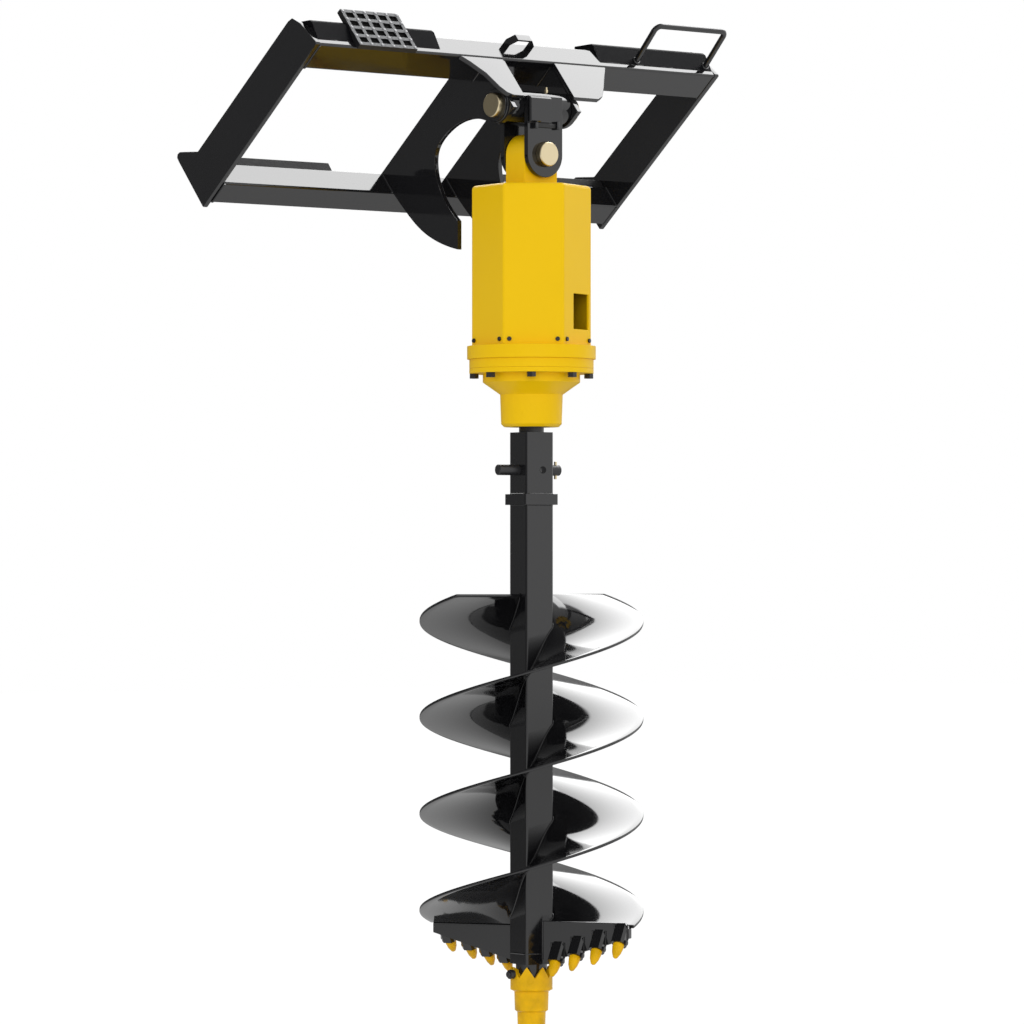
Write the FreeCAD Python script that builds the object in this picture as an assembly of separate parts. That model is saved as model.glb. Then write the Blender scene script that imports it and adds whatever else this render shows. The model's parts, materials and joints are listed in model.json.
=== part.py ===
import FreeCAD, Part
import math
import os

# Mini skid steer auger in the pose of the photo, millimetres.
# X runs along the frame's width, Y to its rear, Z up.
# The origin lies midway between the two wedge pin slots, on top of the lower flange.

V = FreeCAD.Vector
os.makedirs("parts", exist_ok=True)

# Frame, leaning forward
LEAN = 50.0
FRAME_Y = -48.0
FRAME_Z = -102.0
FRAME_WIDTH = 1090.0
FRAME_HEIGHT = 470.0
SIDE_THICK = 12.0
UPPER_BAR_DEPTH = 50.0
UPPER_BAR_HEIGHT = 70.0
LOWER_BAR_SIZE = 58.0
LOWER_BAR_FOOT = 8.0
BAR_WALL = 6.0
SLOT_SPACING = 740.0
SLOT_LENGTH = 64.0
SLOT_WIDTH = 30.0
FLANGE_THICK = 10.0
FLANGE_REACH = 33.0
FLANGE_INNER_END = 220.0
LIP_INNER_END = 215.0
LIP_FRONT = 12.0
LIP_RISE = 8.0
STEP_INSET = 103.0
STEP_WIDTH = 150.0
STEP_FRONT = -5.0
STEP_REAR = 95.0
STEP_RISE = 12.0
STEP_WALL = 3.0
HANDLE_INSET = 27.0
HANDLE_WIDTH = 195.0
HANDLE_RISE = 96.0
HANDLE_LEAN = 6.5
HANDLE_R = 6.0
GUIDE_HALF = 34.0
GUIDE_RISE = 30.0
GUIDE_STRAP = 4.0

# Cradle and pins
CRADLE_GAP = 162.0
CRADLE_THICK = 11.0
GUSSET_SHIFT = 14.0
PIN_DEPTH = -90.56
PIN_DROP = 44.71
PIN_RISE = 98.0
PIN_R = 25.0
PIN_FIT = 0.05
SIDE_PLAY = 1.0
BUSH_WALL = 3.0
KNUCKLE_R = 33.0
CLEVIS_GAP = 62.0
CLEVIS_THICK = 12.0
CLEVIS_HALF = 47.0
EAR_HALF = 44.0
EAR_PLAY = 1.5

# Drive, heights below the lower pin
HOOD_TOP = -62.0
HOOD_FOOT = -390.0
HOOD_R = 122.5
HOOD_TURN = -8.7
HOOD_WALL = 5.0
SCREW_APART = 98.0
FLANGE_FOOT = -417.0
FLANGE_R = 131.5
RING_FOOT = -436.0
RING_R = 127.0
NOSE_FOOT = -464.0
NOSE_R = 99.5
CONE_FOOT = -489.0
NECK_R = 64.0
NECK_FOOT = -555.0
BOLT_CIRCLE_R = 117.0
BOLT_TURN = 4.0
SHAFT_R = 25.4

# Planetary gears
MODULE = 4.5
SUN_TEETH = 12
PLANET_TEETH = 15
RING_TEETH = 42
TOOTH_SHARE = 0.41

# Auger
TUBE_SIDE = 66.0
TUBE_WALL = 6.0
TUBE_TURN = -8.7
HUB_TOP = -566.0
HUB_PIN_Z = -643.0
HUB_PIN_R = 11.0
HUB_LENGTH = 137.0
COLLAR_HEIGHT = 22.0
COLLAR_SIDE = 80.0
TUBE_FOOT = -1628.0
FLIGHT_R = 228.6
FLIGHT_PITCH = 393.4
FLIGHT_THICK = 6.0
FLIGHT_TOP = -901.6
FLIGHT_FOOT = -1572.3
FLIGHT_END_ANGLE = -66.0
TIP_INNER_Z = -1672.0
TIP_RISE = 0.29
TOOTH_RAKE = 35.0
TOOTH_R = 11.5
TOOTH_LENGTH = 33.0
HOLDER_SIDE = 28.0
HOLDER_LENGTH = 48.0
BAR_THICK = 14.0
PILOT_FOOT = -1850.0


def box(x0, x1, y0, y1, z0, z1):
    return Part.makeBox(x1 - x0, y1 - y0, z1 - z0, V(x0, y0, z0))


def rod(p0, p1, r):
    a = V(*p0)
    b = V(*p1)
    return Part.makeCylinder(r, (b - a).Length, a, b - a)


def tube(p0, p1, r_out, r_in):
    return rod(p0, p1, r_out).cut(rod(p0, p1, r_in))


def plate_yz(points, x0, x1):
    wire = Part.makePolygon([V(x0, p[0], p[1]) for p in points + points[:1]])
    return Part.Face(wire).extrude(V(x1 - x0, 0, 0))


def plate_xy(points, z0, z1):
    wire = Part.makePolygon([V(p[0], p[1], z0) for p in points + points[:1]])
    return Part.Face(wire).extrude(V(0, 0, z1 - z0))


def plate_xz(points, y0, y1):
    wire = Part.makePolygon([V(p[0], y0, p[1]) for p in points + points[:1]])
    return Part.Face(wire).extrude(V(0, y1 - y0, 0))


def hexagon(x, y, across_flats, z0, z1):
    r = across_flats / math.sqrt(3)
    pts = [(x + r * math.cos(k * math.pi / 3), y + r * math.sin(k * math.pi / 3)) for k in range(6)]
    return plate_xy(pts, z0, z1)


def group(shapes):
    return Part.makeCompound(shapes)


def mirror(shape):
    return shape.mirror(V(0, 0, 0), V(1, 0, 0))


def round_edges(shape, radius, test):
    edges = [e for e in shape.Edges if test(e)]
    return shape.makeFillet(radius, edges)


# The leaning frame is drawn upright: y is the depth to the rear, z the height along the side plates
frame_place = FreeCAD.Placement(V(0, FRAME_Y, FRAME_Z), FreeCAD.Rotation(V(1, 0, 0), LEAN))
frame_back = frame_place.inverse()


def lean(shape):
    moved = shape.copy()
    moved.Placement = frame_place.multiply(moved.Placement)
    return moved


def to_frame(y, z):
    p = frame_back.multVec(V(0, y, z))
    return p.y, p.z


def from_frame(d, u):
    p = frame_place.multVec(V(0, d, u))
    return p.y, p.z


# The upper pin stands near the frame's top, and the lower pin hangs below it
pin_d = PIN_DEPTH
pin_u = FRAME_HEIGHT - PIN_DROP
AXIS_Y, upper_pin_z = from_frame(pin_d, pin_u)
LOWER_PIN_Z = upper_pin_z - PIN_RISE


# The drive and auger are drawn about the lower pin: z is the height from the pin
def hang(shape):
    moved = shape.copy()
    moved.translate(V(0, AXIS_Y, LOWER_PIN_Z))
    return moved


nodes = {}
half = FRAME_WIDTH / 2
inner = half - SIDE_THICK
top = FRAME_HEIGHT

# Side plates with the toe that points to the rear
side_outline = [(2, -8), (128, -8), (139, -7), (144, -1), (142, 7), (124, 27), (101, 52), (97, top - 36),
                (93, top - 22), (66, top - 10), (4, top + 2), (0, top)]
side_left = plate_yz(side_outline, -half, -inner)
nodes["side_plate_left"] = lean(side_left)
nodes["side_plate_right"] = lean(mirror(side_left))


# Upper and lower bars, rectangular tubes between the side plates
def bar_profile(d0, d1, u0, u1, x0, x1, radius):
    solid = box(x0, x1, d0, d1, u0, u1)
    return round_edges(solid, radius, lambda e: abs(e.Length - (x1 - x0)) < 0.01)


def square_bar(d1, u0, u1):
    outer = bar_profile(0, d1, u0, u1, -inner, inner, 5.0)
    hollow = box(-inner, inner, BAR_WALL, d1 - BAR_WALL, u0 + BAR_WALL, u1 - BAR_WALL)
    return outer.cut(hollow)


upper_low = FRAME_HEIGHT - UPPER_BAR_HEIGHT
lower_top = LOWER_BAR_FOOT + LOWER_BAR_SIZE
nodes["upper_bar"] = lean(square_bar(UPPER_BAR_DEPTH, upper_low, FRAME_HEIGHT))
nodes["lower_bar"] = lean(square_bar(LOWER_BAR_SIZE, LOWER_BAR_FOOT, lower_top))

# Hook lips, bent plates that rise over the upper bar and drop behind it, which take the machine's plate
bar_rear = UPPER_BAR_DEPTH
lip_outline = [(LIP_FRONT, top), (bar_rear + 4, top + LIP_RISE), (bar_rear + 12, top + LIP_RISE - 3),
               (bar_rear + 44, top - 36), (bar_rear + 37, top - 42), (bar_rear + 8, top - 6), (bar_rear, top - 6),
               (bar_rear, top)]
lip_left = plate_yz(lip_outline, -inner, -LIP_INNER_END)
nodes["hook_lips"] = group([lean(lip_left), lean(mirror(lip_left))])

# Lower flanges with the wedge pin slots, bent down onto the lower bar
bar_y, bar_z = from_frame(LOWER_BAR_SIZE, lower_top - 5)
foot_y, foot_z = from_frame(LOWER_BAR_SIZE, lower_top - 17)
flange_outline = [(bar_y, bar_z), (-44, 0), (FLANGE_REACH, 0), (FLANGE_REACH, -FLANGE_THICK),
                  (-36, -FLANGE_THICK), (foot_y, foot_z)]
flange = plate_yz(flange_outline, -inner, -FLANGE_INNER_END)
corner = plate_xy([(-FLANGE_INNER_END - 40, FLANGE_REACH + 1), (-FLANGE_INNER_END + 1, -30),
                   (-FLANGE_INNER_END + 1, FLANGE_REACH + 1)], -60, 10)
slot_r = SLOT_WIDTH / 2
slot_half = SLOT_LENGTH / 2 - slot_r
slot = box(-slot_half, slot_half, -slot_r, slot_r, -30, 10)
slot = slot.fuse([rod((-slot_half, 0, -30), (-slot_half, 0, 10), slot_r),
                  rod((slot_half, 0, -30), (slot_half, 0, 10), slot_r)])
slot.translate(V(-SLOT_SPACING / 2, 0, 0))
flange_left = flange.cut(corner).cut(slot)
nodes["pin_flange_left"] = flange_left
nodes["pin_flange_right"] = mirror(flange_left)


# Cradle plates with the large C shaped opening
def curve(points, x):
    spline = Part.BSplineCurve()
    spline.interpolate([V(x, p[0], p[1]) for p in points])
    return spline.toShape()


def line(p, q, x):
    return Part.makeLine(V(x, p[0], p[1]), V(x, q[0], q[1]))


gusset_low = FRAME_HEIGHT - 10.0
jaw_r = 38.0
tip_low = to_frame(AXIS_Y + 125, LOWER_PIN_Z - 190)
tip_high = to_frame(AXIS_Y + 125, LOWER_PIN_Z - 131)
cradle_x = -(CRADLE_GAP / 2 + CRADLE_THICK)
under = [(0, lower_top), (-61, 72), (-122, 84), (-189, 115), tip_low]
throat_low = 179.0
throat_high = pin_u - 46.3
throat_depths = [(-115, 0), (-56, 0.09), (-26, 0.24), (-22, 0.415), (-34, 0.665), (-66, 0.905), (-90, 1)]
throat = [tip_high] + [(d, throat_low + share * (throat_high - throat_low)) for d, share in throat_depths]
side_pin = (pin_d - jaw_r, pin_u)
low_pin = throat[-1]
cradle_edges = [
    line((LOWER_BAR_SIZE, lower_top), (0, lower_top), cradle_x),
    curve(under, cradle_x),
    line(tip_low, tip_high, cradle_x),
    curve(throat, cradle_x),
    Part.Arc(V(cradle_x, *low_pin), V(cradle_x, pin_d - 0.8 * jaw_r, pin_u - 0.6 * jaw_r),
             V(cradle_x, *side_pin)).toShape(),
    line(side_pin, (pin_d - jaw_r, gusset_low), cradle_x),
    line((pin_d - jaw_r, gusset_low), (0, gusset_low), cradle_x),
    line((0, gusset_low), (0, upper_low), cradle_x),
    line((0, upper_low), (LOWER_BAR_SIZE, upper_low), cradle_x),
    line((LOWER_BAR_SIZE, upper_low), (LOWER_BAR_SIZE, lower_top), cradle_x)]
cradle = Part.Face(Part.Wire(cradle_edges)).extrude(V(CRADLE_THICK, 0, 0))
cradle = cradle.cut(rod((cradle_x - 1, pin_d, pin_u), (cradle_x + 20, pin_d, pin_u), PIN_R + PIN_FIT))
nodes["cradle_plate_left"] = lean(cradle)
nodes["cradle_plate_right"] = lean(mirror(cradle))

# Tapered gussets on top of the cradle plates
gusset_pts = [(-184, 0), (-68, 0), (-68, -104), (-98, -104), (-112, -98), (-124, -82), (-140, -46), (-166, -16)]
gusset = plate_xy(gusset_pts, gusset_low, FRAME_HEIGHT)
gusset.translate(V(GUSSET_SHIFT, 0, 0))
wide_pts = [(-210, 0), (-68, 0), (-68, -98), (-136, -98), (-152, -88), (-162, -75)]
gusset_right = plate_xy(wide_pts, gusset_low, FRAME_HEIGHT)
gusset_right.translate(V(-GUSSET_SHIFT, 0, 0))
nodes["top_gussets"] = group([lean(gusset), lean(mirror(gusset_right))])

# Upper pin with its boss rings, and the keeper at its right end
ring_out = cradle_x - 6.0
boss = tube((ring_out, pin_d, pin_u), (cradle_x, pin_d, pin_u), 33.0, PIN_R + PIN_FIT)
nodes["pin_boss_rings"] = group([lean(boss), lean(mirror(boss))])
pin_end = -ring_out + 12.0
pin = rod((-pin_end, pin_d, pin_u), (pin_end, pin_d, pin_u), PIN_R)
pin = pin.makeChamfer(2.0, pin.Edges)
nodes["upper_pin"] = lean(pin)
keeper = box(ring_out - 6, ring_out, pin_d + PIN_R + 0.3, pin_d + PIN_R + 40, pin_u - 14, pin_u + 14)
foot_block = box(ring_out, cradle_x, pin_d + PIN_R + 14, pin_d + PIN_R + 40, pin_u - 14, pin_u + 14)
keeper_bolt = rod((ring_out - 12, pin_d + PIN_R + 27, pin_u), (ring_out - 6, pin_d + PIN_R + 27, pin_u), 8.0)
keeper = keeper.fuse(foot_block).fuse(keeper_bolt)
nodes["upper_pin_keeper"] = lean(mirror(keeper))

# Step grating, grab handle and hose guide on the upper bar
step_top = FRAME_HEIGHT + STEP_RISE
step_left = STEP_INSET - half
step_right = step_left + STEP_WIDTH
tray = box(step_left, step_right, STEP_FRONT, STEP_REAR, FRAME_HEIGHT, step_top)
tray = tray.cut(box(step_left + STEP_WALL, step_right - STEP_WALL, STEP_FRONT + STEP_WALL,
                    STEP_REAR - STEP_WALL, FRAME_HEIGHT - 1, step_top - STEP_WALL))
STEP_COLUMNS = 5
STEP_ROWS = 4
STEP_RIB = 9.0
hole_x = (step_right - step_left - STEP_RIB) / STEP_COLUMNS
hole_y = (STEP_REAR - STEP_FRONT - STEP_RIB) / STEP_ROWS
holes = []
for column in range(STEP_COLUMNS):
    for row in range(STEP_ROWS):
        hx = step_left + STEP_RIB + column * hole_x
        hy = STEP_FRONT + STEP_RIB + row * hole_y
        holes.append(box(hx, hx + hole_x - STEP_RIB, hy, hy + hole_y - STEP_RIB, step_top - 8, step_top + 1))
tray = tray.cut(holes).cut(lip_left)
nodes["step_grating"] = lean(tray)


def bent_rod(x0, x1, depth, z0, z1, bend, r):
    mid = math.sqrt(0.5) * bend
    edges = [
        Part.makeLine(V(x0, depth, z0), V(x0, depth, z1 - bend)),
        Part.Arc(V(x0, depth, z1 - bend), V(x0 + bend - mid, depth, z1 - bend + mid),
                 V(x0 + bend, depth, z1)).toShape()]
    if x1 - x0 > 2 * bend + 0.1:
        edges.append(Part.makeLine(V(x0 + bend, depth, z1), V(x1 - bend, depth, z1)))
    edges.append(Part.Arc(V(x1 - bend, depth, z1), V(x1 - bend + mid, depth, z1 - bend + mid),
                          V(x1, depth, z1 - bend)).toShape())
    edges.append(Part.makeLine(V(x1, depth, z1 - bend), V(x1, depth, z0)))
    circle = Part.Wire(Part.makeCircle(r, V(x0, depth, z0), V(0, 0, 1)))
    return Part.Wire(edges).makePipeShell([circle], True, False)


handle_depth = UPPER_BAR_DEPTH / 2
handle_right = half - HANDLE_INSET
handle = bent_rod(handle_right - HANDLE_WIDTH, handle_right, handle_depth, FRAME_HEIGHT - 5,
                  FRAME_HEIGHT + HANDLE_RISE, 13, HANDLE_R)
handle.rotate(V(0, handle_depth, FRAME_HEIGHT), V(1, 0, 0), -HANDLE_LEAN)
handle = handle.cut(box(0, half, 0, UPPER_BAR_DEPTH, FRAME_HEIGHT - 30, FRAME_HEIGHT)).cut(mirror(lip_left))
nodes["grab_handle"] = lean(handle)


def strap_side(half_width, rise, slant):
    return [(half_width, top), (half_width, top + rise - slant), (half_width - slant, top + rise)]


strap_out = strap_side(GUIDE_HALF, GUIDE_RISE, 15)
strap_in = strap_side(GUIDE_HALF - GUIDE_STRAP, GUIDE_RISE - GUIDE_STRAP, 13)
strap = strap_out + [(-x, z) for x, z in reversed(strap_out)] + [(-x, z) for x, z in strap_in] + strap_in[::-1]
nodes["hose_guide"] = lean(plate_xz(strap, 28, 44))

# Knuckle, drawn about the lower pin
tube_half = CRADLE_GAP / 2 - SIDE_PLAY
bush_r = PIN_R + PIN_FIT + BUSH_WALL
clevis_in = CLEVIS_GAP / 2
clevis_out = clevis_in + CLEVIS_THICK
nodes["knuckle_tube"] = hang(tube((-tube_half, 0, PIN_RISE), (tube_half, 0, PIN_RISE), KNUCKLE_R, bush_r))
bushes = []
for side in (-1, 1):
    x0, x1 = sorted((side * tube_half, side * (tube_half - 50)))
    bushes.append(hang(tube((x0, 0, PIN_RISE), (x1, 0, PIN_RISE), bush_r, PIN_R + PIN_FIT)))
nodes["knuckle_bushes"] = group(bushes)


def clevis(y0, y1):
    body = box(-CLEVIS_HALF, CLEVIS_HALF, y0, y1, 0, PIN_RISE + 20)
    body = body.fuse(rod((0, y0, 0), (0, y1, 0), CLEVIS_HALF)).removeSplitter()
    body = body.cut(rod((-90, 0, PIN_RISE), (90, 0, PIN_RISE), KNUCKLE_R))
    return body.cut(rod((0, y0 - 1, 0), (0, y1 + 1, 0), PIN_R + PIN_FIT))


nodes["clevis_plate_front"] = hang(clevis(-clevis_out, -clevis_in))
nodes["clevis_plate_rear"] = hang(clevis(clevis_in, clevis_out))
stop = box(-CLEVIS_HALF, 12, -clevis_out - 9, -clevis_out, PIN_RISE - 34, PIN_RISE + 18)
nodes["stop_block"] = hang(stop.makeChamfer(3.0, stop.Edges))
low_pin_rod = rod((0, -clevis_out - 14, 0), (0, clevis_out + 14, 0), PIN_R)
nodes["lower_pin"] = hang(low_pin_rod.makeChamfer(2.0, low_pin_rod.Edges))
keep = box(-14, 14, clevis_out, clevis_out + 6, PIN_R + 0.3, PIN_R + 34)
keep = keep.fuse(rod((0, clevis_out + 6, PIN_R + 20), (0, clevis_out + 12, PIN_R + 20), 8.0))
nodes["lower_pin_keeper"] = hang(keep)
nipple = rod((40, 0, PIN_RISE + KNUCKLE_R - 1), (40, 0, PIN_RISE + KNUCKLE_R + 6), 4.0)
nipple = nipple.fuse(rod((40, 0, PIN_RISE + KNUCKLE_R + 6), (40, 0, PIN_RISE + KNUCKLE_R + 11), 2.6))
nipple = nipple.cut(rod((-90, 0, PIN_RISE), (90, 0, PIN_RISE), KNUCKLE_R))
nodes["grease_fitting"] = hang(nipple)


# Drive: ears on the hood's top, turning on the lower pin
ear = box(-EAR_HALF, EAR_HALF, -clevis_in + EAR_PLAY, clevis_in - EAR_PLAY, HOOD_TOP, 0)
ear = ear.fuse(rod((0, -clevis_in + EAR_PLAY, 0), (0, clevis_in - EAR_PLAY, 0), EAR_HALF)).removeSplitter()
ear = ear.cut(rod((0, -90, 0), (0, 90, 0), bush_r))
nodes["drive_ear"] = hang(ear)
nodes["ear_bush"] = hang(tube((0, -clevis_in + EAR_PLAY, 0), (0, clevis_in - EAR_PLAY, 0),
                              bush_r, PIN_R + PIN_FIT))


def hex_prism(r, z0, z1):
    angles = [math.radians(HOOD_TURN - 90 + 60 * k) for k in range(6)]
    return plate_xy([(r * math.cos(a), r * math.sin(a)) for a in angles], z0, z1)


# Six sided hood with rounded corners, open below, with the hose opening in one wall
hood = hex_prism(HOOD_R, HOOD_FOOT, HOOD_TOP)
hood = round_edges(hood, 7.0, lambda e: abs(e.Vertexes[0].Z - e.Vertexes[1].Z) > 10)
hood = round_edges(hood, 9.0, lambda e: e.BoundBox.ZMin > HOOD_TOP - 0.01)
hood = hood.cut(hex_prism(HOOD_R - HOOD_WALL / math.cos(math.pi / 6), HOOD_FOOT - 1, HOOD_TOP - 8))
flat = HOOD_R * math.cos(math.pi / 6)
OPENING_LOW = -357.0
OPENING_HIGH = -285.0
opening = box(flat - 12, flat + 12, -17, 49, OPENING_LOW, OPENING_HIGH)
opening.rotate(V(0, 0, 0), V(0, 0, 1), HOOD_TURN - 60)
nodes["hood"] = hang(hood.cut(opening))

# Screws low on the hood's walls
screws = []
for k in range(6):
    for across in (-SCREW_APART / 2, SCREW_APART / 2):
        head = rod((flat, across, HOOD_FOOT + 11), (flat + 4, across, HOOD_FOOT + 11), 4.5)
        head.rotate(V(0, 0, 0), V(0, 0, 1), HOOD_TURN + 60 * k)
        screws.append(hang(head))
nodes["hood_screws"] = group(screws)


def around(r, count, turn):
    steps = [math.radians(turn + 360.0 * k / count) for k in range(count)]
    return [(r * math.cos(a), r * math.sin(a)) for a in steps]


# Base flange, ring gear and nose housing, bolted together
bolt_r = 6.0
bolt_hole_r = bolt_r + 0.3
bolt_places = around(BOLT_CIRCLE_R, 8, BOLT_TURN)
SHAFT_BORE_R = 30.0
base = rod((0, 0, HOOD_FOOT), (0, 0, FLANGE_FOOT), FLANGE_R).cut(
    rod((0, 0, HOOD_FOOT + 1), (0, 0, FLANGE_FOOT - 1), SHAFT_BORE_R))
base = base.cut([rod((x, y, FLANGE_FOOT - 1), (x, y, FLANGE_FOOT + 20), bolt_hole_r) for x, y in bolt_places])
nodes["base_flange"] = hang(base)


def gear_points(teeth, root_r, tip_r, turn):
    pitch_r = MODULE * teeth / 2
    half_pitch = TOOTH_SHARE * math.pi * MODULE / 2
    slope = math.tan(math.radians(20))
    sign = 1 if tip_r > root_r else -1
    half_root = (half_pitch + sign * (pitch_r - root_r) * slope) / root_r
    half_tip = (half_pitch - sign * (tip_r - pitch_r) * slope) / tip_r
    pts = []
    for k in range(teeth):
        mid = math.radians(turn) + 2 * math.pi * k / teeth
        for r, a in ((root_r, -half_root), (tip_r, -half_tip), (tip_r, half_tip), (root_r, half_root)):
            pts.append((r * math.cos(mid + a), r * math.sin(mid + a)))
    return pts


def outer_gear(teeth, turn, z0, z1):
    pitch_r = MODULE * teeth / 2
    return plate_xy(gear_points(teeth, pitch_r - 1.1 * MODULE, pitch_r + 0.85 * MODULE, turn), z0, z1)


ring_pitch_r = MODULE * RING_TEETH / 2
ring = rod((0, 0, FLANGE_FOOT), (0, 0, RING_FOOT), RING_R)
ring = ring.cut(plate_xy(gear_points(RING_TEETH, ring_pitch_r + 1.1 * MODULE, ring_pitch_r - 0.85 * MODULE, 0),
                         RING_FOOT - 1, FLANGE_FOOT + 1))
ring = ring.cut([rod((x, y, RING_FOOT - 1), (x, y, FLANGE_FOOT + 1), bolt_hole_r) for x, y in bolt_places])
nodes["ring_gear"] = hang(ring)

NOSE_FLANGE_FOOT = RING_FOOT - 10
CARRIER_R = 82.0
CARRIER_FOOT = RING_FOOT - 16
BEARING_R = 45.0
SEAL_R = 38.0
chamber_r = CARRIER_R + 2
chamber_foot = CARRIER_FOOT - 2
nose_profile = [(chamber_r, RING_FOOT), (RING_R, RING_FOOT), (RING_R, NOSE_FLANGE_FOOT),
                (NOSE_R, NOSE_FLANGE_FOOT), (NOSE_R, NOSE_FOOT),
                (NECK_R, CONE_FOOT), (NECK_R - 2, NECK_FOOT + 6), (NECK_R - 8, NECK_FOOT),
                (SEAL_R, NECK_FOOT), (SEAL_R, NECK_FOOT + 10), (BEARING_R, NECK_FOOT + 10),
                (BEARING_R, chamber_foot), (chamber_r, chamber_foot)]
nose_wire = Part.makePolygon([V(r, 0, z) for r, z in nose_profile + nose_profile[:1]])
nose = Part.Face(nose_wire).revolve(V(0, 0, 0), V(0, 0, 1), 360)
nose = nose.cut([rod((x, y, NOSE_FLANGE_FOOT - 1), (x, y, RING_FOOT + 1), bolt_hole_r) for x, y in bolt_places])
nodes["nose_housing"] = hang(nose)

bolts = []
for x, y in bolt_places:
    head = hexagon(x, y, 17.0, NOSE_FLANGE_FOOT - 10, NOSE_FLANGE_FOOT)
    bolts.append(hang(head.fuse(rod((x, y, NOSE_FLANGE_FOOT), (x, y, FLANGE_FOOT + 19), bolt_r))))
nodes["flange_bolts"] = group(bolts)

# Hydraulic motor on the base flange, with two port fittings at the hose opening
MOTOR_R = 42.0
MOTOR_TOP = -205.0
motor_foot = HOOD_FOOT + 14
MOTOR_SHAFT_R = 12.0
plate = box(-52, 52, -52, 52, HOOD_FOOT, motor_foot)
plate = round_edges(plate, 10.0, lambda e: abs(e.Vertexes[0].Z - e.Vertexes[1].Z) > 10)
mount_r = 41.0
mounts = [(sx * mount_r, sy * mount_r) for sx in (-1, 1) for sy in (-1, 1)]
plate = plate.cut([rod((x, y, HOOD_FOOT - 1), (x, y, motor_foot + 1), 5.3) for x, y in mounts])
plate = plate.cut(rod((0, 0, HOOD_FOOT - 1), (0, 0, motor_foot + 1), MOTOR_SHAFT_R + PIN_FIT))
nodes["motor_flange"] = hang(plate)
gerotor_top = motor_foot + 32
gerotor = tube((0, 0, motor_foot), (0, 0, gerotor_top), 36.0, MOTOR_SHAFT_R + PIN_FIT)
nodes["motor_body"] = hang(gerotor)
valve = rod((0, 0, gerotor_top), (0, 0, MOTOR_TOP - 6), MOTOR_R)
cap = rod((0, 0, MOTOR_TOP - 6), (0, 0, MOTOR_TOP), MOTOR_R - 4)
nodes["motor_valve_block"] = hang(valve.fuse(cap))
motor_bolts = []
for x, y in mounts:
    head = hexagon(x, y, 15.0, motor_foot, motor_foot + 7)
    motor_bolts.append(hang(head.fuse(rod((x, y, HOOD_FOOT + 0.3), (x, y, motor_foot), 5.0))))
nodes["motor_bolts"] = group(motor_bolts)
fittings = []
for z in (OPENING_HIGH - 12, OPENING_LOW + 28):
    fitting = rod((MOTOR_R - 3, 8, z), (MOTOR_R + 12, 8, z), 13.0)
    fitting = fitting.fuse(rod((MOTOR_R + 12, 8, z), (MOTOR_R + 34, 8, z), 9.0))
    fitting = fitting.cut(rod((MOTOR_R + 8, 8, z), (MOTOR_R + 36, 8, z), 6.0))
    fitting = fitting.cut(rod((0, 0, MOTOR_TOP), (0, 0, motor_foot), MOTOR_R))
    fitting.rotate(V(0, 0, 0), V(0, 0, 1), HOOD_TURN - 60)
    fittings.append(hang(fitting))
nodes["port_fittings"] = group(fittings)

# Motor shaft with the sun gear, planets on the carrier, output shaft in its bearings
gear_top = FLANGE_FOOT - 1
gear_foot = RING_FOOT + 0.5
PRESS = 0.02
nodes["motor_shaft"] = hang(rod((0, 0, gear_foot), (0, 0, gerotor_top - 0.3), MOTOR_SHAFT_R))
sun = outer_gear(SUN_TEETH, 0, gear_foot, gear_top)
sun = sun.cut(rod((0, 0, gear_foot - 1), (0, 0, gear_top + 1), MOTOR_SHAFT_R + PRESS))
nodes["sun_gear"] = hang(sun)
orbit_r = MODULE * (SUN_TEETH + PLANET_TEETH) / 2
PLANET_PIN_R = 8.0
planet_places = around(orbit_r, 3, 90)
planet_pins = []
for k, (x, y) in enumerate(planet_places):
    planet = outer_gear(PLANET_TEETH, 90 + 120 * k, gear_foot, gear_top)
    planet = planet.cut(rod((0, 0, gear_foot - 1), (0, 0, gear_top + 1), PLANET_PIN_R + PIN_FIT))
    planet.translate(V(x, y, 0))
    nodes["planet_gear_%d" % (k + 1)] = hang(planet)
    planet_pins.append(rod((x, y, CARRIER_FOOT), (x, y, gear_top), PLANET_PIN_R))
carrier_top = gear_foot - 0.3
carrier = rod((0, 0, CARRIER_FOOT), (0, 0, carrier_top), CARRIER_R)
carrier = carrier.fuse(planet_pins)
carrier = carrier.cut(rod((0, 0, CARRIER_FOOT - 1), (0, 0, carrier_top + 1), SHAFT_R + PRESS))
nodes["planet_carrier"] = hang(carrier)
bearings = []
for z in (chamber_foot - 4, NECK_FOOT + 34):
    bearings.append(hang(tube((0, 0, z), (0, 0, z - 22), BEARING_R - PRESS, SHAFT_R + PIN_FIT)))
nodes["shaft_bearings"] = group(bearings)
nodes["shaft_seal"] = hang(tube((0, 0, NECK_FOOT + 0.5), (0, 0, NECK_FOOT + 9.5), SEAL_R - PRESS,
                                SHAFT_R + PIN_FIT))


def turned(shape, angle):
    moved = shape.copy()
    moved.rotate(V(0, 0, 0), V(0, 0, 1), angle)
    return moved


def square_bar_z(side, z0, z1, radius):
    solid = box(-side / 2, side / 2, -side / 2, side / 2, z0, z1)
    if radius > 0:
        solid = round_edges(solid, radius, lambda e: abs(e.Vertexes[0].Z - e.Vertexes[1].Z) > 1)
    return solid


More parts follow.
